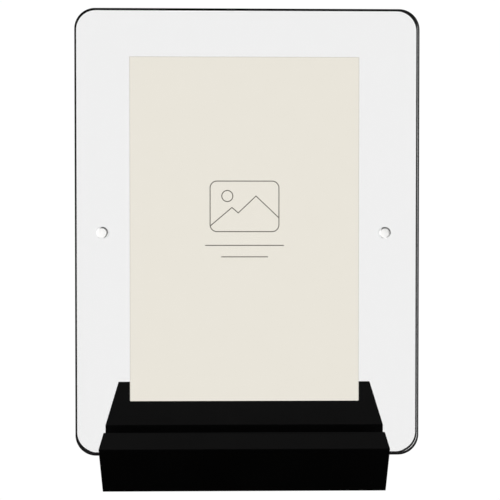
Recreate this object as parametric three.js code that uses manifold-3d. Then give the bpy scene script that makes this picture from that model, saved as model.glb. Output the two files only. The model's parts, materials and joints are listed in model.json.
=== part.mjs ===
// Acrylic photo block: two clear sheets, held together by small disc magnets with a print between them,
// stand leaning in the inclined groove of a low black block.
// Millimetres, +Z up. The front faces -Y and +X is to the right. The origin is under the middle of the
// object's box, on the surface that it stands on.

import * as THREE from 'three';
import { mergeVertices } from 'three/addons/utils/BufferGeometryUtils.js';
import loadManifold from 'manifold-3d';

// Base block
const baseWidth = 122.3;
const baseDepth = 50.8;
const baseHeight = 22.6;
const longEdgeRadius = 0.4; // along the block
const endEdgeRadius = 0.25; // round the block's two ends

// Groove, which leans back and runs the whole length of the block
const leanDegrees = 22;
const lipDepth = 11.4; // from the block's front face to the groove, along the top
const grooveDepth = 10.7; // along the lean, from the lip's rear edge down to the groove's floor
const grooveMouthRadius = 0.3;
const groovePlay = 0.4; // on each side of the pair of sheets

// Pads under the block
const footDiameter = 9;
const footThickness = 1;
const footInset = 8; // from the block's sides to a pad's centre
const footRimRadius = 0.25;

// Print, and the margins of the front sheet that show round it
const printWidth = 100;
const printHeight = 150;
const printThickness = 0.25;
const leftMargin = 23.5;
const rightMargin = 26;
const topMargin = 20.5;
const bottomMargin = 23.5;

// Sheets
const sheetThickness = 2;
const sheetCornerRadius = 9;
const sheetEdgeRadius = 0.45;
const printPlay = 0.1; // between the print and each sheet
const seatGap = 0.3; // between the front sheet and the groove's floor
const slipRight = 0.3; // how far the front sheet sits to the right of the rear one
const slipDown = 0.35; // and how far below it

// Magnets, flush with both faces of their sheet
const magnetDiameter = 5;
const magnetRimRadius = 0.6;
const magnetSeatPlay = 0.08; // round a magnet in its seat
const magnetReach = 11.45; // from the print's edge to a magnet's centre, if the print lay midway
const magnetsToLeft = 0.25; // how far the middle between the magnets lies to the left of the print's middle

// Smoothness of the round stretches
const sheetArcSteps = 9; // half the steps of each corner
const sheetEdgeSteps = 3;
const blockArcSteps = 2;
const endEdgeSteps = 3;
const rimSteps = 3;
const discSides = 36;

// Worked out from the sizes above
const lean = THREE.MathUtils.degToRad(leanDegrees);
const sheetLeft = -printWidth / 2 - leftMargin;
const sheetRight = printWidth / 2 + rightMargin;
const sheetHeight = bottomMargin + printHeight + topMargin;
const sheetGap = printThickness + 2 * printPlay;
const stackThickness = 2 * sheetThickness + sheetGap;
const grooveWidth = stackThickness + 2 * groovePlay;
const bothSides = [['left', -1], ['right', 1]];
const magnetPlaces = bothSides.map(([name, side]) => (
  { name, x: side * (printWidth / 2 + magnetReach) - magnetsToLeft }
));
const magnetHeight = sheetHeight / 2; // above the front sheet's lower edge
const seatRadius = magnetDiameter / 2 + magnetSeatPlay;

const manifold = await loadManifold();
manifold.setup();

const lacquerBlack = new THREE.MeshStandardMaterial({ color: 0x0b0b0b, roughness: 0.5, metalness: 0 });
const clearAcrylic = new THREE.MeshStandardMaterial({
  color: 0xf4f7f7, roughness: 0.05, metalness: 0, transparent: true, opacity: 0.3,
});
const nickelPlate = new THREE.MeshStandardMaterial({ color: 0xd9d8d4, roughness: 0.22, metalness: 1 });
const creamPaper = new THREE.MeshStandardMaterial({ color: 0xe8e4d8, roughness: 0.85, metalness: 0 });
const blackRubber = new THREE.MeshStandardMaterial({ color: 0x161616, roughness: 0.9, metalness: 0 });

function piece(name, geometry, material) {
  const mesh = new THREE.Mesh(geometry, material);
  mesh.name = name;
  return mesh;
}

// A closed outline through the corners, each rounded by an arc of its own radius where it has one.
// An arc joins itself to what comes before it with a straight line.
function roundedOutline(corners) {
  const outline = new THREE.Shape();
  corners.forEach(({ at, radius = 0 }, index) => {
    if (radius === 0) {
      outline.lineTo(at.x, at.y);
      return;
    }
    const before = corners.at(index - 1).at;
    const after = corners[(index + 1) % corners.length].at;
    const towardsBefore = before.clone().sub(at).normalize();
    const towardsAfter = after.clone().sub(at).normalize();
    const halfAngle = Math.acos(towardsBefore.dot(towardsAfter)) / 2;
    const tangentLength = radius / Math.tan(halfAngle);
    const middle = towardsBefore.clone().add(towardsAfter).normalize();
    const centre = at.clone().addScaledVector(middle, radius / Math.sin(halfAngle));
    const startAngle = at.clone().addScaledVector(towardsBefore, tangentLength).sub(centre).angle();
    const endAngle = at.clone().addScaledVector(towardsAfter, tangentLength).sub(centre).angle();
    outline.absarc(centre.x, centre.y, radius, startAngle, endAngle, false);
  });
  outline.closePath();
  return outline;
}

// A plate of the outline's shape between z = 0 and z = thickness, with its edges rounded inwards.
function edgedPlate(outline, thickness, edge, edgeStepCount, curveSegments) {
  return new THREE.ExtrudeGeometry(outline, {
    depth: thickness - 2 * edge,
    bevelEnabled: true,
    bevelThickness: edge,
    bevelSize: edge,
    bevelOffset: -edge,
    bevelSegments: edgeStepCount,
    curveSegments,
  }).translate(0, 0, edge);
}

// A closed shape as a solid that can be cut. Only its places count, and those that coincide are made one.
function solidFrom(geometry) {
  const places = new THREE.BufferGeometry();
  places.setAttribute('position', geometry.getAttribute('position'));
  places.setIndex(geometry.getIndex());
  const joined = mergeVertices(places);
  return new manifold.Manifold(new manifold.Mesh({
    numProp: 3,
    vertProperties: joined.getAttribute('position').array,
    triVerts: Uint32Array.from(joined.getIndex().array),
  }));
}

function geometryFrom(solid) {
  const { vertProperties, numProp, triVerts } = solid.getMesh();
  const geometry = new THREE.BufferGeometry();
  geometry.setAttribute('position', new THREE.BufferAttribute(vertProperties, numProp));
  geometry.setIndex(new THREE.BufferAttribute(triVerts, 1));
  geometry.computeVertexNormals();
  return geometry;
}

// A disc about the Y axis, centred on the origin, with rounded rims.
function roundedDisc(radius, thickness, rim, sides) {
  const profile = [new THREE.Vector2(0, -thickness / 2)];
  for (const [side, firstAngle] of [[-1, -Math.PI / 2], [1, 0]]) {
    for (let step = 0; step <= rimSteps; step += 1) {
      const angle = firstAngle + (step / rimSteps) * (Math.PI / 2);
      const height = side * (thickness / 2 - rim) + rim * Math.sin(angle);
      profile.push(new THREE.Vector2(radius - rim + rim * Math.cos(angle), height));
    }
  }
  profile.push(new THREE.Vector2(0, thickness / 2));
  return new THREE.LatheGeometry(profile, sides);
}

// Where the groove lies in the block's side view, with x towards the rear and y up.
const upTheLean = new THREE.Vector2(Math.sin(lean), Math.cos(lean));
const acrossTheLean = new THREE.Vector2(Math.cos(lean), -Math.sin(lean)); // from front to rear
const lipEdge = new THREE.Vector2(lipDepth, baseHeight);
const grooveFloorFront = lipEdge.clone().addScaledVector(upTheLean, -grooveDepth);
const grooveFloorRear = grooveFloorFront.clone().addScaledVector(acrossTheLean, grooveWidth);
const grooveRearEdge = new THREE.Vector2(lipDepth + grooveWidth / Math.cos(lean), baseHeight);

// The block is its side view, groove included, carried from one end to the other.
function baseBlockGeometry() {
  const sideView = roundedOutline([
    { at: new THREE.Vector2(0, 0), radius: longEdgeRadius },
    { at: new THREE.Vector2(baseDepth, 0), radius: longEdgeRadius },
    { at: new THREE.Vector2(baseDepth, baseHeight), radius: longEdgeRadius },
    { at: grooveRearEdge, radius: grooveMouthRadius },
    { at: grooveFloorRear },
    { at: grooveFloorFront },
    { at: lipEdge, radius: grooveMouthRadius },
    { at: new THREE.Vector2(0, baseHeight), radius: longEdgeRadius },
  ]);
  const block = edgedPlate(sideView, baseWidth, endEdgeRadius, endEdgeSteps, blockArcSteps);
  const sideViewAxes = new THREE.Matrix4().makeBasis(
    new THREE.Vector3(0, 1, 0), new THREE.Vector3(0, 0, 1), new THREE.Vector3(1, 0, 0),
  );
  return block.applyMatrix4(sideViewAxes).translate(-baseWidth / 2, 0, 0);
}

function basePieces() {
  const group = new THREE.Group();
  group.position.z = footThickness;
  group.add(piece('base_block', baseBlockGeometry(), lacquerBlack));
  for (const [sideName, side] of bothSides) {
    for (const [endName, y] of [['front', footInset], ['rear', baseDepth - footInset]]) {
      const pad = roundedDisc(footDiameter / 2, footThickness, footRimRadius, discSides);
      const foot = piece(`foot_${endName}_${sideName}`, pad.rotateX(Math.PI / 2), blackRubber);
      foot.position.set(side * (baseWidth / 2 - footInset), y, -footThickness / 2);
      group.add(foot);
    }
  }
  return group;
}

// A sheet with its rear face at y = 0 and its front face at y = -sheetThickness. Its outline may have slipped
// sideways and upwards, but its magnets' seats, bored right through, stay in line with the other sheet's.
function sheetGeometry(slip) {
  const outline = roundedOutline([
    { at: new THREE.Vector2(sheetLeft, 0).add(slip), radius: sheetCornerRadius },
    { at: new THREE.Vector2(sheetRight, 0).add(slip), radius: sheetCornerRadius },
    { at: new THREE.Vector2(sheetRight, sheetHeight).add(slip), radius: sheetCornerRadius },
    { at: new THREE.Vector2(sheetLeft, sheetHeight).add(slip), radius: sheetCornerRadius },
  ]);
  const plate = edgedPlate(outline, sheetThickness, sheetEdgeRadius, sheetEdgeSteps, sheetArcSteps);
  let sheet = solidFrom(plate.rotateX(Math.PI / 2));
  for (const { x } of magnetPlaces) {
    const bore = new THREE.CylinderGeometry(seatRadius, seatRadius, 2 * sheetThickness, discSides);
    sheet = sheet.subtract(solidFrom(bore.translate(x, -sheetThickness / 2, magnetHeight)));
  }
  return geometryFrom(sheet);
}

function sheetWithMagnets(place, slip) {
  const group = new THREE.Group();
  group.add(piece(`${place}_sheet`, sheetGeometry(slip), clearAcrylic));
  for (const { name, x } of magnetPlaces) {
    const disc = roundedDisc(magnetDiameter / 2, sheetThickness, magnetRimRadius, discSides);
    const magnet = piece(`${place}_magnet_${name}`, disc, nickelPlate);
    magnet.position.set(x, -sheetThickness / 2, magnetHeight);
    group.add(magnet);
  }
  return group;
}

function photoInsert() {
  const paper = new THREE.BoxGeometry(printWidth, printThickness, printHeight);
  const print = piece('photo_insert', paper, creamPaper);
  print.position.set(0, 0, bottomMargin + printHeight / 2);
  return print;
}

// The pair of sheets, with the print in the middle of the gap between them, in the groove.
function leaningStack() {
  const group = new THREE.Group();
  const front = sheetWithMagnets('front', new THREE.Vector2(0, 0));
  front.position.y = -sheetGap / 2;
  const rear = sheetWithMagnets('rear', new THREE.Vector2(-slipRight, slipDown));
  rear.position.y = sheetGap / 2 + sheetThickness;
  group.add(front, rear, photoInsert());
  const foot = grooveFloorFront.clone()
    .addScaledVector(acrossTheLean, grooveWidth / 2)
    .addScaledVector(upTheLean, seatGap);
  group.position.set(0, foot.x, footThickness + foot.y);
  group.rotation.x = -lean;
  return group;
}

const photoBlock = new THREE.Group();
photoBlock.add(basePieces(), leaningStack());

// Stand the object with the middle of its box over the origin.
const reach = new THREE.Box3().setFromObject(photoBlock, true);
photoBlock.position.set(-(reach.min.x + reach.max.x) / 2, -(reach.min.y + reach.max.y) / 2, -reach.min.z);
photoBlock.updateMatrixWorld(true);

export default photoBlock;
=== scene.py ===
# %% [markdown]
# # A photo block in clear acrylic
# Two clear sheets hold a paper print between them. Four small disc magnets, two in each sheet, pull the
# sheets together, and the pair leans back in the groove of a low black block.
#
# The construction is settled before this script starts: it comes in as a fixed frame of solids, each at its
# real size and place. Here each solid gets a finer skin and a finish, and the whole gets a studio. Nothing is
# moved or resized, so every size below is either measured on the frame or a small one, such as the radius of
# an edge, that the frame holds too.

# %% Load the frame
import json
import math

import bpy
import numpy as np
from mathutils import Euler, Matrix, Vector
from mathutils.geometry import delaunay_2d_cdt


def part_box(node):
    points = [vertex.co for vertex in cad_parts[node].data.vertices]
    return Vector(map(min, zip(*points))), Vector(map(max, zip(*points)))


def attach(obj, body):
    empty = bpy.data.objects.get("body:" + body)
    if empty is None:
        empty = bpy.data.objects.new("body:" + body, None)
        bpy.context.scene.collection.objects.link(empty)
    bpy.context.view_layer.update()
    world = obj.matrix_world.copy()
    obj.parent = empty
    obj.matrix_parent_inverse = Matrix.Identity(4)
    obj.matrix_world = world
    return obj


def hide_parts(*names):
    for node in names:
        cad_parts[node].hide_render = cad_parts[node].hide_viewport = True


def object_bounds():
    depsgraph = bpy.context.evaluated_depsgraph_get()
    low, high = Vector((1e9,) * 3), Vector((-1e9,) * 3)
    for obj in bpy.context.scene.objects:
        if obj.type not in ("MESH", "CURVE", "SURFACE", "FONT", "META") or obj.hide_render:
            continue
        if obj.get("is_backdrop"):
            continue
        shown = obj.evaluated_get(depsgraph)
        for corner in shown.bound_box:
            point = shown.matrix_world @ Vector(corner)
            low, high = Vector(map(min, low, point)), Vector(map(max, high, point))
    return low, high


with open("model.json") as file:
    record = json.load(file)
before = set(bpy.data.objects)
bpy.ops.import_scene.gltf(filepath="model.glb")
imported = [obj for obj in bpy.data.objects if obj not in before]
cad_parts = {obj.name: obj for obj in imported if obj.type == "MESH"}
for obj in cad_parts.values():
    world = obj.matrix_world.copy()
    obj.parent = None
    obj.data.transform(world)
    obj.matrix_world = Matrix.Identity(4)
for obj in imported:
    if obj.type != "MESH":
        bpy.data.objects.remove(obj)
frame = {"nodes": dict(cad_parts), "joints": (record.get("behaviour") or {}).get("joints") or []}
frame_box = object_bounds()
print("nodes:", ", ".join(sorted(frame["nodes"])))

# %% [markdown]
# ## Three ways to look at a flat piece
# Every piece of this object is an outline with a thickness: the block is a plate as thick as it is long, the
# sheets and the print are plates that lean, and the magnets and pads are small round ones. So each shape is
# worked out as if it lay flat, in three directions of its own: two in its face, and one through it. Each set
# of directions is a small matrix whose rows are those directions. The lean isn't typed in again: it is the
# direction in which the frame says that the sheets slide out of the groove.

# %% Directions
MILLIMETRE = 0.001
CENTIMETRE = 10 * MILLIMETRE
slide_out = np.array(frame["joints"][0]["axis"], float)
LEAN = math.atan2(slide_out[1], slide_out[2])

LEANING = np.array([[1, 0, 0], [0, math.sin(LEAN), math.cos(LEAN)], [0, math.cos(LEAN), -math.sin(LEAN)]])
END_ON = np.array([[0, 1, 0], [0, 0, 1], [1, 0, 0]])
LYING = np.eye(3)


def extent(node, directions):
    """The lowest and highest reach of a node of the frame along each of the three directions."""
    mesh = frame["nodes"][node].data
    points = np.empty(len(mesh.vertices) * 3)
    mesh.vertices.foreach_get("co", points)
    along = points.reshape(-1, 3) @ directions.T
    return along.min(axis=0), along.max(axis=0)


print(f"the sheets lean back by {math.degrees(LEAN):.1f} degrees")
for measured in ("front_sheet", "photo_insert"):
    low, high = extent(measured, LEANING)
    width, height, thickness = (high - low) / MILLIMETRE
    print(f"{measured}: {width:.1f} x {height:.1f} x {thickness:.2f} mm")

# %% [markdown]
# ## Outlines
# An outline could be drawn by hand, point by point, but then a changed radius would mean drawing it again.
# Instead it is given by its corners and their radii, and the round stretches are worked out. The same sum
# serves a corner that points outwards and one that points inwards, such as those at the foot of the groove.

# %% Round the corners of an outline
CORNER_STEPS = 24


def rounded_outline(corners, radii, steps=CORNER_STEPS):
    """
    The closed outline through the corners, taken anticlockwise, with each corner rounded to its radius.

    Formula: the arc's centre lies on the line that halves the corner, at radius / sin(half the corner's
    angle) from it. The arc runs from one side to the other, always the short way round.
    """
    corners = np.asarray(corners, float)
    radii = np.broadcast_to(np.asarray(radii, float), len(corners))[:, None]
    back = np.roll(corners, 1, axis=0) - corners
    ahead = np.roll(corners, -1, axis=0) - corners
    back = back / np.linalg.norm(back, axis=1, keepdims=True)
    ahead = ahead / np.linalg.norm(ahead, axis=1, keepdims=True)
    half = np.arccos(np.sum(back * ahead, axis=1, keepdims=True)) / 2
    middle = (back + ahead) / np.linalg.norm(back + ahead, axis=1, keepdims=True)
    centres = corners + middle * radii / np.sin(half)
    start = corners + back * radii / np.tan(half) - centres
    end = corners + ahead * radii / np.tan(half) - centres
    first = np.arctan2(start[:, 1], start[:, 0])[:, None]
    last = np.arctan2(end[:, 1], end[:, 0])[:, None]
    turn = (last - first + math.pi) % (2 * math.pi) - math.pi
    angles = first + turn * np.linspace(0, 1, steps + 1)
    around = np.stack([np.cos(angles), np.sin(angles)], axis=-1)
    return (centres[:, None] + radii[:, None] * around).reshape(-1, 2)


def circle(centre, radius, sides):
    """A circle's points, anticlockwise: centre + radius * (cosine, sine) of equally spaced angles."""
    angles = np.linspace(0, 2 * math.pi, sides, endpoint=False)
    return np.asarray(centre) + radius * np.stack([np.cos(angles), np.sin(angles)], axis=-1)


def rectangle(low, high):
    """The four corners of a rectangle, anticlockwise."""
    return [(low[0], low[1]), (high[0], low[1]), (high[0], high[1]), (low[0], high[1])]


# %% [markdown]
# ## From an outline to a plate
# No real edge is a knife edge. The rim of a plate is therefore a quarter round, a straight wall and another
# quarter round. A Bevel modifier could do this, but here the rim is a surface in two parameters: one goes
# round the outline and the other goes through the plate. At each level the outline is drawn in a little.
#
# To draw an outline in, each point moves along its own mitre, so that both of its neighbouring sides move
# by the same distance. A hole is drawn the other way and gets wider towards the faces.

# %% Draw an outline in
EDGE_STEPS = 6


def mitres(outline):
    """
    How far each point moves outwards when both of its sides move out by one.

    Formula: with m and n the outward directions of a point's two sides, (m + n) / (1 + m . n).
    """
    side = np.roll(outline, -1, axis=0) - outline
    side = side / np.linalg.norm(side, axis=1, keepdims=True)
    after = np.stack([side[:, 1], -side[:, 0]], axis=-1)
    before = np.roll(after, 1, axis=0)
    return (before + after) / (1 + np.sum(before * after, axis=1, keepdims=True))


def edge_profile(low, high, radius):
    """
    How far the outline is drawn in at each level through a plate with both edges rounded.

    Formula: along a quarter turn t, the inset is radius * (1 - sin t) and the depth radius * (1 - cos t).
    """
    turn = np.linspace(0, math.pi / 2, EDGE_STEPS + 1)
    insets = radius * (1 - np.sin(turn))
    depths = radius * (1 - np.cos(turn))
    return np.concatenate([insets, insets[::-1]]), np.concatenate([low + depths, high - depths[::-1]])


def ring_walls(levels, count, start):
    """The quads between neighbouring levels of a closed ring of points: (level, step) to the next of each."""
    level, step = np.meshgrid(np.arange(levels - 1), np.arange(count), indexing="ij")
    following = (step + 1) % count
    near, far = level * count + start, (level + 1) * count + start
    return np.stack([near + step, near + following, far + following, far + step], axis=-1).reshape(-1, 4)


# %% [markdown]
# The two faces of a plate are single flat polygons. Only the sheets are harder, because a polygon can't have
# holes. Their faces are cut into triangles between the outline and the magnets' seats, and the triangles that
# fill a seat are left out.

# %% Cut a face with holes
FILL_ALL = 0  # asks for triangles everywhere between the outermost points
SAME_POINT = 1e-9  # points that are nearer to each other than this, in metres, count as one


def faces_with_holes(rings):
    """
    Triangles that fill the first ring, which bulges everywhere, but not the others, by number of point.

    The cutting numbers the points anew, and says of each of its numbers which given point that is.
    """
    points = np.concatenate(rings)
    starts = np.cumsum([0] + [len(ring) for ring in rings])
    edges = [
        (start + step, start + (step + 1) % len(ring))
        for start, ring in zip(starts, rings)
        for step in range(len(ring))
    ]
    corners = [Vector(point) for point in points.tolist()]
    _, _, cut, sources, *_ = delaunay_2d_cdt(corners, edges, [], FILL_ALL, SAME_POINT, True)
    triangles = np.array([source[0] for source in sources])[np.array(cut)]
    middles = points[triangles].mean(axis=1)
    inside_a_hole = np.zeros(len(triangles), bool)
    for hole in rings[1:]:
        centre = hole.mean(axis=0)
        reach = np.linalg.norm(hole - centre, axis=1).min()
        inside_a_hole |= np.linalg.norm(middles - centre, axis=1) < reach
    return triangles[~inside_a_hole]


# %% [markdown]
# Every piece becomes a closed skin, whose faces have to point outwards. They could be looked at one by one,
# but the volume tells at once. Worked out from the triangles, it is negative where a closed surface is inside
# out, and then all the faces are turned round.

# %% Make a skin
def outward_volume(mesh):
    """The volume inside a closed mesh: the sum of (a . (b x c)) / 6 over its triangles."""
    mesh.calc_loop_triangles()
    corners = np.empty(len(mesh.loop_triangles) * 3, np.int32)
    mesh.loop_triangles.foreach_get("vertices", corners)
    points = np.empty(len(mesh.vertices) * 3)
    mesh.vertices.foreach_get("co", points)
    a, b, c = points.reshape(-1, 3)[corners].reshape(-1, 3, 3).transpose(1, 0, 2)
    return float(np.sum(a * np.cross(b, c)) / 6)


def skin(name, points, faces, smooth, finishes, finish_numbers):
    """A piece made of a closed surface, turned so that its faces point outwards."""
    mesh = bpy.data.meshes.new(name)
    mesh.from_pydata(points, [], faces)
    mesh.polygons.foreach_set("use_smooth", smooth)
    for finish in finishes:
        mesh.materials.append(finish)
    mesh.polygons.foreach_set("material_index", finish_numbers)
    if outward_volume(mesh) < 0:
        mesh.flip_normals()
    piece = bpy.data.objects.new(name, mesh)
    bpy.context.scene.collection.objects.link(piece)
    volume = abs(outward_volume(mesh)) / CENTIMETRE ** 3
    print(f"{name}: {len(mesh.polygons)} faces, {volume:.2f} cubic centimetres")
    return piece


# %% [markdown]
# Light shows whether a surface is flat. So a plate's big walls and its faces are shaded flat, and only the
# narrow strips of the round edges and corners are shaded smooth.

# %% Make a plate
FLAT_FROM = 1 * MILLIMETRE  # a wall whose shorter side is longer than this is flat
FACES, SEATS, RIM = range(3)  # the parts of a plate that can have finishes of their own


def plate(name, outline, span, edge, directions, finishes, holes=(), hole_edge=0.0, reach=1.0):
    """
    A plate of the outline's shape, going from span[0] to span[1] along the third direction.

    Its edge has a radius, and reach says how many times that radius each point's edge goes into the face.
    A hole's edge goes the other way, so its reach is less than zero. The plate has either one finish, or one
    each for its faces, its seats and its rim.
    """
    points, walls, parts, lows, highs = [], [], [], [], []
    start = 0
    rings = [(outline, reach, edge, RIM)] + [(hole, -1, hole_edge, SEATS) for hole in holes]
    for ring, ring_reach, radius, part in rings:
        insets, levels = edge_profile(span[0], span[1], radius)
        rows = ring - insets[:, None, None] * mitres(ring) * ring_reach
        depth = np.broadcast_to(levels[:, None, None], (*rows.shape[:2], 1))
        points.append(np.concatenate([rows, depth], axis=-1).reshape(-1, 3))
        quads = ring_walls(len(levels), len(ring), start)
        walls.append(quads if part == RIM else quads[:, ::-1])
        parts.append(np.full(len(quads), part))
        lows.append(np.arange(len(ring)) + start)
        start += len(points[-1])
        highs.append(np.arange(-len(ring), 0) + start)
    flat_points = np.concatenate(points)
    points = flat_points @ directions
    walls = np.concatenate(walls)
    if holes:
        triangles = faces_with_holes([flat_points[low, :2] for low in lows])
        caps = np.concatenate(lows)[triangles[:, ::-1]].tolist() + np.concatenate(highs)[triangles].tolist()
    else:
        caps = [lows[0][::-1].tolist(), highs[0].tolist()]
    sides = np.linalg.norm(points[walls] - points[np.roll(walls, -1, axis=1)], axis=2)
    smooth = np.concatenate([sides.min(axis=1) < FLAT_FROM, np.zeros(len(caps), bool)])
    parts = np.concatenate(parts + [np.full(len(caps), FACES)])
    return skin(name, points, walls.tolist() + caps, smooth, finishes, parts % len(finishes))


# %% [markdown]
# Last, a piece takes the place of one of the frame's solids, which isn't shown any more. It is told which
# body it rides on, so that it moves as the solid would.

# %% Take a solid's place
def stands_for(piece, node, body):
    """Puts a piece in the place of a solid of the frame, which is hidden: the piece rides on its body."""
    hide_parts(node)
    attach(piece, body)
    return piece


# %% [markdown]
# ## Turned pieces
# A pad or a magnet is a plate too, but a round one is better turned, as on a lathe: a profile of radius and
# level sweeps once round its axis. So its face needn't be dead flat. The faces of tumbled magnets fall away a
# little from their middle, and that is what makes the light on them change from one side to the other.

# %% Turn a profile
ROUND_SIDES = 72
FACE_STEPS = 6
MIDDLE_SHARE = 0.1  # of the radius: the flat middle in which the profile ends


def turned(profile, sides):
    """The surface that a profile sweeps when it turns about the third axis: (r cos a, r sin a, level)."""
    angles = np.linspace(0, 2 * math.pi, sides, endpoint=False)
    radius, level = profile[:, :1], profile[:, 1:]
    rows = [radius * np.cos(angles), radius * np.sin(angles), np.broadcast_to(level, (len(profile), sides))]
    return np.stack(rows, axis=-1).reshape(-1, 3)


def disc_profile(radius, low, high, rim, fall):
    """
    The profile of a round disc, from the middle of its lower face to the middle of its upper one.

    Formula: a face falls by fall * (r / reach) ** 2, where reach is the radius without its rim, and the rim
    is a quarter turn t of (rim * sin t, rim * (1 - cos t)) further out and down.
    """
    reach = radius - rim
    across = np.linspace(MIDDLE_SHARE, 1, FACE_STEPS)
    turn = np.linspace(0, math.pi / 2, EDGE_STEPS + 1)[1:]
    out = np.concatenate([reach * across, reach + rim * np.sin(turn)])
    down = np.concatenate([fall * across ** 2, fall + rim * (1 - np.cos(turn))])
    down = down - down[0]
    upper = np.stack([out, high - down], axis=-1)
    lower = np.stack([out, low + down], axis=-1)
    return np.concatenate([lower, upper[::-1]])


def disc(name, node, rim, directions, finish, fall=0.0):
    """A round disc that fills a round node of the frame."""
    low, high = extent(node, directions)
    middle = np.append((low + high)[:2] / 2, 0)
    profile = disc_profile((high[0] - low[0]) / 2, low[2], high[2], rim, fall)
    points = (turned(profile, ROUND_SIDES) + middle) @ directions
    ends = [np.arange(ROUND_SIDES)[::-1].tolist(), (np.arange(-ROUND_SIDES, 0) + len(points)).tolist()]
    faces = ring_walls(len(profile), ROUND_SIDES, 0).tolist() + ends
    return skin(name, points, faces, np.ones(len(faces), bool), [finish], np.zeros(len(faces), int))


# %% [markdown]
# ## Writing a finish as sums
# A finish is a graph of nodes, and a long graph written node by node is hard to read. Here a number that
# varies over a surface is a Field, and Python's own signs work on it: each sign adds the Math node that does
# the sum.

# %% Fields
class Field:
    """A value that varies over a surface: the output socket of a node."""

    def __init__(self, finish, socket):
        self.finish = finish
        self.socket = socket

    def sum_of(self, operation, *terms):
        """Adds the Math node that does the operation on the terms, each a field or a plain number."""
        return self.finish.node("ShaderNodeMath", {"operation": operation}, dict(enumerate(terms)))

    def __add__(self, other):
        return self.sum_of("ADD", self, other)

    def __radd__(self, other):
        return self.sum_of("ADD", other, self)

    def __sub__(self, other):
        return self.sum_of("SUBTRACT", self, other)

    def __rsub__(self, other):
        return self.sum_of("SUBTRACT", other, self)

    def __mul__(self, other):
        return self.sum_of("MULTIPLY", self, other)

    def __rmul__(self, other):
        return self.sum_of("MULTIPLY", other, self)

    def __pow__(self, power):
        return self.sum_of("POWER", self, power)

    def __abs__(self):
        return self.sum_of("ABSOLUTE", self)

    def larger(self, other):
        return self.sum_of("MAXIMUM", self, other)

    def smaller(self, other):
        return self.sum_of("MINIMUM", self, other)

    def between(self, low, high):
        """Goes straight from low to high while this value goes from 0 to 1."""
        return low + self * (high - low)

    def part(self, number):
        """One of the three numbers of a place."""
        return self.finish.node("ShaderNodeSeparateXYZ", {}, {"Vector": self}, output=number)


# %% [markdown]
# A Finish is the material that its fields belong to. One method adds any node: it takes the node's type, its
# settings, and what its sockets get. The others use it and are named for what they give, such as a place on
# the piece, grain, a ramp or a bump. So a finish reads like the list of what a maker does to the surface.

# %% Finishes
ACROSS, THROUGH, UP = range(3)  # the parts of a place, once it is turned to lie along a leaning piece
MIX_MASK, MIX_FIRST, MIX_SECOND = 0, 6, 7  # the Mix node's sockets where it mixes colours
MIX_RESULT = 2


class Finish:
    """A material, and the one way in which nodes are added to it."""

    def __init__(self, name):
        self.material = bpy.data.materials.new(name)
        self.material.use_nodes = True
        self.material.node_tree.nodes.clear()

    def node(self, kind, settings, sockets, output=0):
        """Adds a node. Its settings come first, and then each socket gets its value or its link."""
        tree = self.material.node_tree
        added = tree.nodes.new(kind)
        for setting, value in settings.items():
            setattr(added, setting, value)
        for socket, value in sockets.items():
            if isinstance(value, Field):
                tree.links.new(value.socket, added.inputs[socket])
            else:
                added.inputs[socket].default_value = value
        return Field(self, added.outputs[output]) if len(added.outputs) else None

    def place(self, turn=0.0, centre=(0, 0, 0)):
        """Where a point of the piece lies, after a turn about X, measured from a centre."""
        raw = self.node("ShaderNodeTexCoord", {}, {}, output="Object")
        settings = {"vector_type": "POINT"}
        sockets = {"Vector": raw, "Rotation": (turn, 0, 0), "Location": [-value for value in centre]}
        return self.node("ShaderNodeMapping", settings, sockets)

    def leaning_place(self, low, high):
        """Where a point lies across, through and up a leaning piece, from the middle of its extent."""
        across, up, through = (low + high) / 2
        return self.place(turn=LEAN, centre=(across, through, up))

    def noise(self, place, per_metre, detail=2.0, stretch=(1, 1, 1)):
        """Soft random grain between 0 and 1, so many grains to the metre."""
        stretched = self.node("ShaderNodeMapping", {}, {"Vector": place, "Scale": stretch})
        sockets = {"Vector": stretched, "Scale": per_metre, "Detail": detail}
        return self.node("ShaderNodeTexNoise", {}, sockets)

    def ramp(self, field, low, high, low_value=0.0, high_value=1.0):
        """Goes smoothly from low_value to high_value as the field goes from low to high."""
        settings = {"interpolation_type": "SMOOTHSTEP"}
        sockets = dict(enumerate([field, low, high, low_value, high_value]))
        return self.node("ShaderNodeMapRange", settings, sockets)

    def blend(self, mask, first, second):
        """One colour where the mask is 0 and another where it is 1."""
        sockets = {MIX_MASK: mask, MIX_FIRST: first, MIX_SECOND: second}
        return self.node("ShaderNodeMix", {"data_type": "RGBA"}, sockets, output=MIX_RESULT)

    def bump(self, height, depth):
        """The tilt that a height field, a depth in metres high, gives to the surface."""
        return self.node("ShaderNodeBump", {}, {"Height": height, "Distance": depth, "Strength": 1.0})

    def surface(self, sockets):
        """Ends the finish in one Principled surface, and gives the material."""
        shader = self.node("ShaderNodeBsdfPrincipled", {}, sockets)
        self.node("ShaderNodeOutputMaterial", {}, {"Surface": shader})
        print(f"{self.material.name}: {len(self.material.node_tree.nodes)} nodes")
        return self.material


# %% [markdown]
# ## The block's black lacquer
# The block is sprayed black and rubbed down to a satin sheen. A single black would look like a hole in the
# picture. What tells the eye that it is lacquer is in the sheen: the sprayed coat is never quite even, and
# it has the very shallow dimples that sprayers call orange peel. So the colour hardly varies, and the
# roughness and a bump carry the pattern.

# %% Black lacquer
LACQUER_BLACK = (0.0002, 0.0002, 0.0002, 1)
LACQUER_HAZE = (0.0005, 0.0005, 0.0005, 1)
LACQUER_ROUGHNESS = (0.36, 0.5)
CLOUDS_PER_METRE = 45
DIMPLES_PER_METRE = 900
DIMPLE_DEPTH = 0.004 * MILLIMETRE


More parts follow.
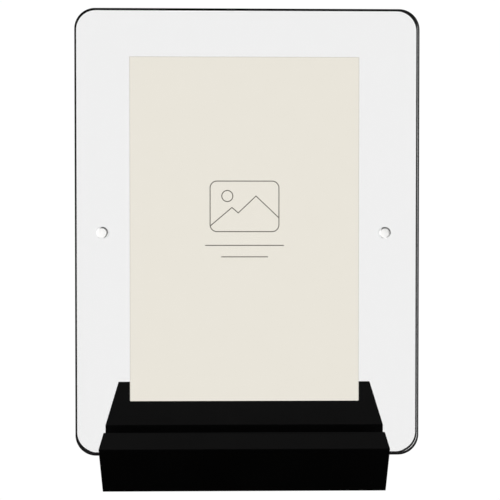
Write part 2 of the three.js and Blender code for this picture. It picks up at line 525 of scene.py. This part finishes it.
def black_lacquer():
    finish = Finish("black_lacquer")
    place = finish.place()
    cloud = finish.noise(place, CLOUDS_PER_METRE, detail=4.0)
    peel = finish.noise(place, DIMPLES_PER_METRE)
    return finish.surface({
        "Base Color": finish.blend(cloud, LACQUER_BLACK, LACQUER_HAZE),
        "Roughness": cloud.between(*LACQUER_ROUGHNESS),
        "Normal": finish.bump(peel, DIMPLE_DEPTH),
    })


lacquer = black_lacquer()

# %% [markdown]
# ## The block
# The block is its side view carried from one end to the other. The groove is part of that side view, so it
# leans as the sheets do and runs out at both ends. Its mouth is softened, which keeps the sheets from being
# scratched on their way in, and its foot has the small radius that a cutter leaves. All of these edges are
# crisp: a sanded edge of less than half a millimetre is what catches a thin line of light.

# %% Block
LIP_DEPTH = 11.4 * MILLIMETRE  # from the front face to the groove, along the top
GROOVE_DEPTH = 10.7 * MILLIMETRE  # along the lean
GROOVE_WIDTH = 5.25 * MILLIMETRE
LONG_EDGE = 0.4 * MILLIMETRE
GROOVE_MOUTH = 0.3 * MILLIMETRE
GROOVE_FOOT = 0.15 * MILLIMETRE
END_EDGE = 0.25 * MILLIMETRE

(block_front, block_floor, block_left), (block_rear, block_top, block_right) = extent("base_block", END_ON)
up_the_lean = np.array([math.sin(LEAN), math.cos(LEAN)])
across_the_lean = np.array([math.cos(LEAN), -math.sin(LEAN)])
lip = np.array([block_front + LIP_DEPTH, block_top])
groove_front = lip - GROOVE_DEPTH * up_the_lean
groove_rear = groove_front + GROOVE_WIDTH * across_the_lean
rear_mouth = np.array([lip[0] + GROOVE_WIDTH / math.cos(LEAN), block_top])
side_view = rounded_outline(
    [(block_front, block_floor), (block_rear, block_floor), (block_rear, block_top), rear_mouth,
     groove_rear, groove_front, lip, (block_front, block_top)],
    [LONG_EDGE, LONG_EDGE, LONG_EDGE, GROOVE_MOUTH, GROOVE_FOOT, GROOVE_FOOT, GROOVE_MOUTH, LONG_EDGE],
    steps=EDGE_STEPS,
)
block = plate("block", side_view, (block_left, block_right), END_EDGE, END_ON, [lacquer])
block.visible_diffuse = False  # so the black block doesn't dim the foot of the print
stands_for(block, "base_block", "base")

# %% [markdown]
# ## Rubber pads
# Four thin self-adhesive pads keep the block from sliding. Their faces are flat and their rims round, and
# they are matt, with the fine pebbled grain of moulded rubber.

# %% Pads
PAD_RIM = 0.25 * MILLIMETRE
RUBBER_BLACK = (0.012, 0.012, 0.012, 1)
RUBBER_DUSTY = (0.022, 0.022, 0.021, 1)
RUBBER_ROUGHNESS = (0.75, 0.95)
PEBBLES_PER_METRE = 2500
PEBBLE_DEPTH = 0.03 * MILLIMETRE


def moulded_rubber():
    finish = Finish("moulded_rubber")
    pebble = finish.noise(finish.place(), PEBBLES_PER_METRE)
    return finish.surface({
        "Base Color": finish.blend(pebble, RUBBER_BLACK, RUBBER_DUSTY),
        "Roughness": pebble.between(*RUBBER_ROUGHNESS),
        "Normal": finish.bump(pebble, PEBBLE_DEPTH),
    })


rubber = moulded_rubber()
for pad_place in ("front_left", "front_right", "rear_left", "rear_right"):
    pad = disc(f"pad_{pad_place}", f"foot_{pad_place}", PAD_RIM, LYING, rubber)
    stands_for(pad, f"foot_{pad_place}", "base")

# %% [markdown]
# ## Clear acrylic
# Acrylic bends light a little less than glass does. A clear sheet shows what is behind it and takes about a
# twelfth of its light away, by mirroring it at its two faces. A cast sheet is never dead flat: it has faint
# long waves, which can't be seen in what shines through it but make what it mirrors a little uneven.

# %% Clear acrylic
ACRYLIC_BEND = 1.49
WAVES_PER_METRE = 30
WAVE_DEPTH = 0.03 * MILLIMETRE


def clear_acrylic():
    finish = Finish("clear_acrylic")
    waves = finish.noise(finish.place(), WAVES_PER_METRE, detail=1.0)
    return finish.surface({
        "Base Color": (1, 1, 1, 1),
        "Roughness": 0.0,
        "IOR": ACRYLIC_BEND,
        "Transmission Weight": 1.0,
        "Normal": finish.bump(waves, WAVE_DEPTH),
    })


# %% [markdown]
# ## Dark edges
# The edges of a clear sheet look quite different, almost black. Light that reaches an edge from inside has
# come along the sheet and meets cut marks that the polish didn't take away, so little of it comes back out.
# Tracing that would need a very fine rim and a great many samples. Instead the rim has a finish of its own:
# painted shade, a smoky black that lets a twentieth of the light through. A round corner spreads that light
# and the foot stands before the black block, so there the painted shade is darker still and lets only a
# hundredth through.

# %% Painted shade on the edges
# painted shade: the rim's near-black stands for how dark a clear edge looks
EDGE_SHADE_BLACK = (0.004, 0.004, 0.004, 1)
EDGE_SHADE_GREY = (0.012, 0.012, 0.012, 1)
RIM_ROUGHNESS = (0.1, 0.22)
EDGE_SHADE_OPACITY = (0.95, 0.99)  # along the sides and the top, and in the corners and at the foot
MARKS_PER_METRE = 1400
MARKS_STRETCH = (1, 0.1, 1)  # drawn out ten times through the sheet, as a saw leaves them
SHEET_CORNER = 9 * MILLIMETRE


def painted_edge_shade():
    finish = Finish("painted_edge_shade")
    low, high = extent("rear_sheet", LEANING)
    straight_across, straight_up, _ = (high - low) / 2 - SHEET_CORNER
    place = finish.leaning_place(low, high)
    marks = finish.noise(place, MARKS_PER_METRE, detail=3.0, stretch=MARKS_STRETCH)
    across, up = place.part(ACROSS), place.part(UP)
    half_corner = SHEET_CORNER / 2
    past_the_side = finish.ramp(abs(across), straight_across, straight_across + half_corner)
    past_the_end = finish.ramp(abs(up), straight_up, straight_up + half_corner)
    at_the_foot = finish.ramp(up, -straight_up - SHEET_CORNER, -straight_up, 1, 0)
    # deeper painted shade in the round corners and at the foot
    deeper_shade = (past_the_side * past_the_end).larger(at_the_foot)
    return finish.surface({
        "Base Color": finish.blend(marks, EDGE_SHADE_BLACK, EDGE_SHADE_GREY),
        "Roughness": marks.between(*RIM_ROUGHNESS),
        "IOR": ACRYLIC_BEND,
        "Alpha": deeper_shade.between(*EDGE_SHADE_OPACITY),
    })


# %% [markdown]
# ## Frosted seats
# The magnets' seats are bored and not polished, so their walls are frosted white, with the fine rings that
# the borer leaves.

# %% Bored walls
FROST_WHITE = (0.88, 0.885, 0.885, 1)
FROST_GREY = (0.72, 0.73, 0.73, 1)
FROST_ROUGHNESS = (0.55, 0.75)
RINGS_PER_METRE = 1200
RINGS_STRETCH = (0.3, 4, 0.3)  # long round the seat, and close together through the sheet
RING_DEPTH = 0.01 * MILLIMETRE


def bored_wall():
    finish = Finish("bored_wall")
    rings = finish.noise(finish.place(turn=LEAN), RINGS_PER_METRE, stretch=RINGS_STRETCH)
    return finish.surface({
        "Base Color": finish.blend(rings, FROST_WHITE, FROST_GREY),
        "Roughness": rings.between(*FROST_ROUGHNESS),
        "Normal": finish.bump(rings, RING_DEPTH),
    })


sheet_finishes = [clear_acrylic(), bored_wall(), painted_edge_shade()]

# %% [markdown]
# ## The sheets
# Each sheet is a plate with round corners and two seats for magnets. Its place comes from the frame, measured
# along the lean. The two sheets aren't quite in line: the front one sits a little lower and further right, as
# in the photograph, so their dark outlines fall together at the top left and part at the bottom right. The
# edges at the foot are broken by hand: the front sheet's further than its others, which helps it find the
# groove, and the rear one's hardly at all.

# %% Sheets
SHEET_EDGE = 0.45 * MILLIMETRE
UP_THE_CORNER = (0, 0.1, 1)  # three heights above the foot, in radii of the sheet's corner
EDGE_REACH = {"front": (1.7, 1.5, 1), "rear": (0.65, 1.15, 1)}  # the edge's reach at each of them
SEAT_PLAY = 0.08 * MILLIMETRE
SEAT_EDGE = 0.08 * MILLIMETRE


def seat(place, side):
    """The outline of a magnet's seat: the magnet's own circle and a little play."""
    low, high = extent(f"{place}_magnet_{side}", LEANING)
    return circle((low + high)[:2] / 2, (high[0] - low[0]) / 2 + SEAT_PLAY, ROUND_SIDES)


sheets = []
for sheet_place in ("front", "rear"):
    low, high = extent(f"{sheet_place}_sheet", LEANING)
    outline = rounded_outline(rectangle(low, high), SHEET_CORNER)
    above_the_foot = (outline[:, 1:] - low[1]) / SHEET_CORNER
    reach = np.interp(above_the_foot, UP_THE_CORNER, EDGE_REACH[sheet_place])
    seats = [seat(sheet_place, side) for side in ("left", "right")]
    sheet = plate(
        f"{sheet_place}_clear_sheet", outline, (low[2], high[2]), SHEET_EDGE, LEANING,
        sheet_finishes, holes=seats, hole_edge=SEAT_EDGE, reach=reach,
    )
    sheet.visible_shadow = False  # a clear sheet throws hardly any shadow
    sheet.visible_diffuse = False  # and hardly dims the floor's glow
    sheet.visible_glossy = False  # so a magnet's rim mirrors what is beyond the wall of its seat
    sheets.append(stands_for(sheet, f"{sheet_place}_sheet", f"{sheet_place}_panel"))

# %% [markdown]
# ## The magnets
# The magnets are nickel-plated discs. They were ground flat, tumbled round at the rim and then plated, so
# their faces fall away a little towards the rim. The plating is bright but not a mirror: tumbling in the
# plating drum leaves it slightly mottled.

# %% Magnets
MAGNET_RIM = 0.6 * MILLIMETRE
MAGNET_FALL = 0.06 * MILLIMETRE
NICKEL_BRIGHT = (0.92, 0.915, 0.905, 1)
NICKEL_DULL = (0.84, 0.835, 0.82, 1)
NICKEL_ROUGHNESS = (0.18, 0.3)
MOTTLES_PER_METRE = 1500
MOTTLE_DEPTH = 0.003 * MILLIMETRE


def nickel_plate():
    finish = Finish("nickel_plate")
    mottle = finish.noise(finish.place(), MOTTLES_PER_METRE, detail=3.0)
    return finish.surface({
        "Base Color": finish.blend(mottle, NICKEL_BRIGHT, NICKEL_DULL),
        "Metallic": 1.0,
        "Roughness": mottle.between(*NICKEL_ROUGHNESS),
        "Normal": finish.bump(mottle, MOTTLE_DEPTH),
    })


nickel = nickel_plate()
magnet_pairs = {side: bpy.data.collections.new(f"magnets_{side}") for side in ("left", "right")}
for magnet_place in ("front", "rear"):
    for side, pair in magnet_pairs.items():
        node = f"{magnet_place}_magnet_{side}"
        magnet = disc(f"{node}_disc", node, MAGNET_RIM, LEANING, nickel, fall=MAGNET_FALL)
        magnet.visible_diffuse = False  # so the narrow gap round it isn't a black ring
        pair.objects.link(stands_for(magnet, node, f"{magnet_place}_panel"))

# %% [markdown]
# ## Drawing on the print
# The print is a piece of cream paper that shows where a photo goes: a small picture frame with a sun and two
# hills in thin grey line, and two plain rules under it.
#
# The drawing could be cut out as flat shapes laid on the paper, but lines half a millimetre thick that hover
# over paper look like wire. Here it is in the finish. Each line is written as a distance: how far a point of
# the paper is from it. The least of all the distances is the distance from the drawing, and ink lies where
# that is less than half a line's thickness.

# %% Distances
def length(across, up):
    """The length of a line that goes so far across and so far up: the square root of both squares' sum."""
    return (across * across + up * up) ** 0.5


def outside_a_box(across, up, half_size, corner):
    """
    How far a point is outside a rectangle with round corners, less than zero inside.

    Formula: measured from the rectangle drawn in by the corner's radius, the point is (ax, ay) beyond its
    sides. Outside, its distance is the length of (ax, ay) where positive. Inside, it is the larger of them.
    """
    beyond_side = abs(across) - float(half_size[0] - corner)
    beyond_top = abs(up) - float(half_size[1] - corner)
    outside = length(beyond_side.larger(0), beyond_top.larger(0))
    return outside + beyond_side.larger(beyond_top).smaller(0) - corner


# %% [markdown]
# The picture's outline is such a box, and each rule is a box without height. The hills stop at the outline,
# because a point outside it counts as at least as far from them as it is from the picture.

# %% Drawing
PICTURE = np.array([30, 22]) * MILLIMETRE
PICTURE_CORNER = 3 * MILLIMETRE
PICTURE_LIFT = 10 * MILLIMETRE  # above the middle of the print
SUN_AT = np.array([-7.5, 4.5]) * MILLIMETRE  # from the middle of the picture
SUN_RADIUS = 2.4 * MILLIMETRE
HILLS = [(-5.5, -0.5, 0.85), (5.0, 4.5, 0.95)]  # where each peak is, in mm from the middle, and its slope
HILLSIDE = math.cos(math.atan(HILLS[0][2]))  # turns a height above a hillside into a distance from it
RULES = [(-7, 34), (-12, 20)]  # height above the middle of the print and length, in mm


def from_the_hills(across, up):
    """
    How far a point is from the skyline, which is the higher of two straight-sided hills.

    Formula: its height above or below the skyline, times the cosine of the hillside's slope. The two slopes
    differ so little that the first hill's serves for both.
    """
    left, right = (
        peak_up * MILLIMETRE - abs(across - peak_across * MILLIMETRE) * slope
        for peak_across, peak_up, slope in HILLS
    )
    return abs(up - left.larger(right)) * HILLSIDE


def from_the_drawing(across, up):
    """How far a point of the paper is from the nearest line of the drawing."""
    picture_up = up - PICTURE_LIFT
    edge = outside_a_box(across, picture_up, PICTURE / 2, PICTURE_CORNER)
    hills = from_the_hills(across, picture_up).larger(edge)
    sun = abs(length(across - float(SUN_AT[0]), picture_up - float(SUN_AT[1])) - SUN_RADIUS)
    nearest = abs(edge).smaller(hills).smaller(sun)
    for rule_up, rule_length in RULES:
        half_rule = np.array([rule_length / 2 * MILLIMETRE, 0])
        nearest = nearest.smaller(outside_a_box(across, up - rule_up * MILLIMETRE, half_rule, 0))
    return nearest


# %% [markdown]
# ## The print
# Uncoated paper isn't one flat colour: it has faint clouds where the fibres lie thicker, and a fine tooth.
# Along its sides and its top a strip of painted shade makes it a little darker, for the light that goes into
# the paper and comes out at the cut. The ink is on the front alone, so its mask also asks on which side of
# the paper's middle a point lies.

# %% Paper
PRINT_CORNER = 0.3 * MILLIMETRE
PRINT_EDGE = 0.04 * MILLIMETRE
CREAM = (0.878, 0.842, 0.755, 1)
CREAM_THIN = (0.860, 0.824, 0.734, 1)
PAINTED_CUT_SHADE = (0.64, 0.62, 0.56, 1)
CUT_SHADE = 0.5 * MILLIMETRE
INK = (0.135, 0.125, 0.105, 1)
LINE = 0.42 * MILLIMETRE
LINE_BLUR = 0.05 * MILLIMETRE
PAPER_ROUGHNESS = (0.85, 0.95)
FIBRE_CLOUDS_PER_METRE = 160
TEETH_PER_METRE = 4000
TOOTH_DEPTH = 0.01 * MILLIMETRE

print_low, print_high = extent("photo_insert", LEANING)


def cream_paper():
    finish = Finish("cream_paper")
    place = finish.place()
    cloud = finish.noise(place, FIBRE_CLOUDS_PER_METRE, detail=4.0)
    tooth = finish.noise(place, TEETH_PER_METRE)
    on_the_print = finish.leaning_place(print_low, print_high)
    across, through, up = (on_the_print.part(number) for number in (ACROSS, THROUGH, UP))
    half_width, half_height, _ = ((print_high - print_low) / 2).tolist()
    from_cut = (half_width - abs(across)).smaller(half_height - up)
    paper = finish.blend(cloud, CREAM, CREAM_THIN)
    # painted shade along the cut sides and the top
    paper = finish.blend(finish.ramp(from_cut, 0, CUT_SHADE, 1, 0), paper, PAINTED_CUT_SHADE)
    drawn = finish.ramp(from_the_drawing(across, up), (LINE - LINE_BLUR) / 2, (LINE + LINE_BLUR) / 2, 1, 0)
    on_front = finish.ramp(through, -PRINT_EDGE, 0, 1, 0)
    return finish.surface({
        "Base Color": finish.blend(drawn * on_front, paper, INK),
        "Roughness": tooth.between(*PAPER_ROUGHNESS),
        "Normal": finish.bump(tooth, TOOTH_DEPTH),
    })


print_outline = rounded_outline(rectangle(print_low, print_high), PRINT_CORNER, steps=EDGE_STEPS)
print_span = (print_low[2], print_high[2])
print_card = plate("print_card", print_outline, print_span, PRINT_EDGE, LEANING, [cream_paper()])
print_card.visible_shadow = False  # so the light from behind reaches the whole of the block's top
print_card.visible_glossy = False  # and the top doesn't mirror the paper
stands_for(print_card, "photo_insert", "print")

# %% [markdown]
# ## The studio
# Clear things are photographed on a bright field: the floor and the background are evenly white, and what
# stands on the camera's side is dark. Then the sheets mirror next to nothing, and only their edges stand out.
# A photographer hangs black cloth round the camera for that. Here the floor is a pale table that glows evenly
# and far out curves up and over the object, so there is no horizon from any side. To do the work of the
# cloth, its glow leaves out the light that has been mirrored on its way to the camera: the Light Path node
# counts how often a ray was.

# %% Floor
COVE_FLAT = 1.5  # metres of level floor, all round the object
COVE_ROUND = 1.0
COVE_SIDES = 64
COVE_STEPS = 24
COVE_BRIGHTNESS = 1.015
GLOW_WHITE = (1, 1, 1, 1)
CLOTH_BLACK = (0, 0, 0, 1)


def cove_profile():
    """
    Half a section of the cove, from the middle of the floor to the middle of its roof.

    Formula: the floor runs out level, a half circle turns back over it, and the roof runs level to the axis.
    """
    turn = np.linspace(-math.pi / 2, math.pi / 2, COVE_STEPS + 1)
    half_circle = np.stack([COVE_FLAT + COVE_ROUND * np.cos(turn), COVE_ROUND * (1 + np.sin(turn))], axis=-1)
    return np.concatenate([[(0, 0)], half_circle, [(0, 2 * COVE_ROUND)]])


def white_glow():
    finish = Finish("white_glow")
    mirrored = finish.node("ShaderNodeLightPath", {}, {}, output="Glossy Depth").smaller(1)
    colour = finish.blend(mirrored, GLOW_WHITE, CLOTH_BLACK)
    glow = finish.node("ShaderNodeEmission", {}, {"Color": colour, "Strength": COVE_BRIGHTNESS})
    finish.node("ShaderNodeOutputMaterial", {}, {"Surface": glow})
    finish.material.cycles.emission_sampling = "NONE"
    return finish.material


cove_mesh = bpy.data.meshes.new("cove")
cove_faces = ring_walls(len(cove_profile()), COVE_SIDES, 0)
cove_mesh.from_pydata(turned(cove_profile(), COVE_SIDES), [], cove_faces.tolist())
cove_mesh.materials.append(white_glow())
cove = bpy.data.objects.new("cove", cove_mesh)
bpy.context.scene.collection.objects.link(cove)
cove.visible_glossy = False
cove.visible_shadow = False
cove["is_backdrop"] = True
print(f"cove: {len(cove_faces)} faces")

# %% [markdown]
# ## The camera
# The camera looks down by almost the angle at which the sheets lean back, so it sees them square on: that is
# why their outline is a rectangle in the photograph while the block's sides run together.

# %% Camera
CAMERA_FROM_BLOCK = np.array([-1.07, -224.83, 207.05]) * MILLIMETRE  # from the middle of its lower front edge
LOOKS_DOWN = math.radians(22.679)
LOOKS_RIGHT = math.radians(0.739)
TILT = math.radians(0.282)
LENS = 47.87  # in mm, as is the sensor's width
SENSOR_WIDTH = 36
SEES_FROM = 10 * MILLIMETRE

block_edge = np.array([(block_left + block_right) / 2, block_front, block_floor])

camera_data = bpy.data.cameras.new("camera")
camera_data.lens = LENS
camera_data.sensor_width = SENSOR_WIDTH
camera_data.clip_start = SEES_FROM
camera = bpy.data.objects.new("camera", camera_data)
upright = Euler((math.pi / 2 - LOOKS_DOWN, 0, -LOOKS_RIGHT)).to_matrix()
turned_camera = upright @ Matrix.Rotation(TILT, 3, "Z")
camera.matrix_world = Matrix.Translation(block_edge + CAMERA_FROM_BLOCK) @ turned_camera.to_4x4()
bpy.context.scene.collection.objects.link(camera)
bpy.context.scene.camera = camera
print(f"camera: {np.linalg.norm(CAMERA_FROM_BLOCK):.3f} m from the middle of the block's lower front edge")

# %% [markdown]
# ## Lights
# The glow of the floor lights the print evenly from all round. The rest is there for the sheen: a soft box
# behind the object puts a grey gleam on the top of the black block, and a smaller one in front on the left
# gives its front something to mirror.

# %% Soft boxes
WORLD_GREY = 0.0015
LOOK_AT = (0, 0, 0.09)


def soft_box(name, where, width, height, brightness, aim=LOOK_AT):
    """A soft box that faces its aim, with its brightness given as that of its own surface."""
    lamp = bpy.data.lights.new(name, "AREA")
    lamp.shape = "RECTANGLE"
    lamp.size = width
    lamp.size_y = height
    lamp.energy = brightness * width * height * math.pi
    holder = bpy.data.objects.new(name, lamp)
    holder.location = where
    holder.rotation_euler = (Vector(aim) - Vector(where)).to_track_quat("-Z", "Y").to_euler()
    holder.visible_camera = False
    bpy.context.scene.collection.objects.link(holder)
    print(f"{name}: {width:.2f} x {height:.2f} m at {np.round(where, 2)}")
    return holder


soft_box("back_box", where=(0, 1.2, 0.9), width=1.6, height=0.5, brightness=0.19)
soft_box("front_box", where=(-1.2, -0.9, 0.9), width=0.8, height=0.8, brightness=0.3)

world = bpy.data.worlds.new("dim_room")
world.use_nodes = True
world.node_tree.nodes["Background"].inputs["Color"].default_value = (WORLD_GREY, WORLD_GREY, WORLD_GREY, 1)
bpy.context.scene.world = world
bpy.context.scene.view_settings.view_transform = "Standard"

# %% [markdown]
# ## Grey cards
# With black cloth on every side, the block would be a black shape without faces when it is seen from the side
# or from behind, and the sheets would turn black where they are seen at a low angle. So grey cards stand
# round the object where the block's ends and rear mirror them to somebody who walks round it, and one hangs
# over it for its top. From where the camera stands, no face mirrors the first three. The one above adds a
# little to the sheen of the satin top, so it is weaker. No card stands in front of the sheets.

# %% Grey cards
RING_GREY = 0.25
TOP_GREY = 0.18

shiny = bpy.data.collections.new("shiny")
for piece in [block, *sheets]:
    shiny.objects.link(piece)

for grey_card in (
    soft_box("right_grey_card", (1.28, -0.23, 0), width=2.6, height=1.8, brightness=RING_GREY),
    soft_box("left_grey_card", (-1.28, -0.23, 0), width=2.6, height=1.8, brightness=RING_GREY),
    soft_box("rear_grey_card", (0, 1.3, -0.45), width=2.2, height=0.9, brightness=RING_GREY),
    soft_box("top_grey_card", (0, 0.1, 1.3), width=2.6, height=1.0, brightness=TOP_GREY),
):
    grey_card.light_linking.receiver_collection = shiny

# %% [markdown]
# ## White cards
# Polished metal shows what stands round it, and on dark cloth that is black. So the magnets get white cards
# of their own. A card is of use only where a magnet mirrors it to the camera, and that direction is worked
# out. Each front card reaches far to the left and down, for the left and lower rim, but not far to the right
# and up: the dark crescent that is left there is what makes the discs look round. One card at the left and
# one below serve what the rims show of the rear. Two grey cards on the right, one high and one low, keep what
# the discs mirror there from going quite black. Light linking keeps all of them off everything else, as a
# mask would in a photographer's dark room.

# %% White cards
CARD_WHITE = 1.15
CARD_GREY = 0.16
CARD_AWAY = 0.75  # metres from its magnet
CARD_LEFTWARDS = math.radians(34)  # how far to the left of the mirrored direction a card stands
CARD_DOWNWARDS = math.radians(30)  # and how far below it
CARD_HALF = math.radians(46)  # half the angle that a card fills

card_size = 2 * CARD_AWAY * math.tan(CARD_HALF)
to_the_right, up_the_sheets, into_the_sheets = LEANING
facing = -into_the_sheets
leftwards = math.tan(CARD_LEFTWARDS) * to_the_right
downwards = math.tan(CARD_DOWNWARDS) * up_the_sheets
for side, pair in magnet_pairs.items():
    low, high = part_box(f"front_magnet_{side}")
    magnet_at = (np.array(low) + np.array(high)) / 2
    to_camera = np.array(camera.matrix_world.translation) - magnet_at
    mirrored_way = (2 * (facing @ to_camera) * facing - to_camera) / np.linalg.norm(to_camera)
    card_way = mirrored_way - leftwards - downwards
    card_at = magnet_at + CARD_AWAY * card_way / np.linalg.norm(card_way)
    magnet_cards = [
        soft_box(f"front_card_{side}", card_at, card_size, card_size, CARD_WHITE, aim=magnet_at),
        soft_box(f"left_card_{side}", (-0.9, 0.2, 0.3), width=2, height=2.2, brightness=CARD_WHITE),
        soft_box(f"lower_card_{side}", (0.2, 0.2, -0.6), width=2.2, height=1.6, brightness=CARD_WHITE),
        soft_box(f"grey_card_{side}", (0.8, -0.3, 0.9), width=2.4, height=2.4, brightness=CARD_GREY),
        soft_box(f"dim_card_{side}", (1.1, -1.0, 0.1), width=1.2, height=1.2, brightness=CARD_GREY),
    ]
    for magnet_card in magnet_cards:
        magnet_card.light_linking.receiver_collection = pair

# %% [markdown]
# ## The size
# The finer skins have to fill the same box as the frame's solids, so both boxes are printed.

# %% Finish
scene_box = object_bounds()
for whose, (low, high) in {"solids": frame_box, "skins": scene_box}.items():
    width, depth, height = (high - low) / MILLIMETRE
    print(f"box of the {whose}: {width:.2f} x {depth:.2f} x {height:.2f} mm")
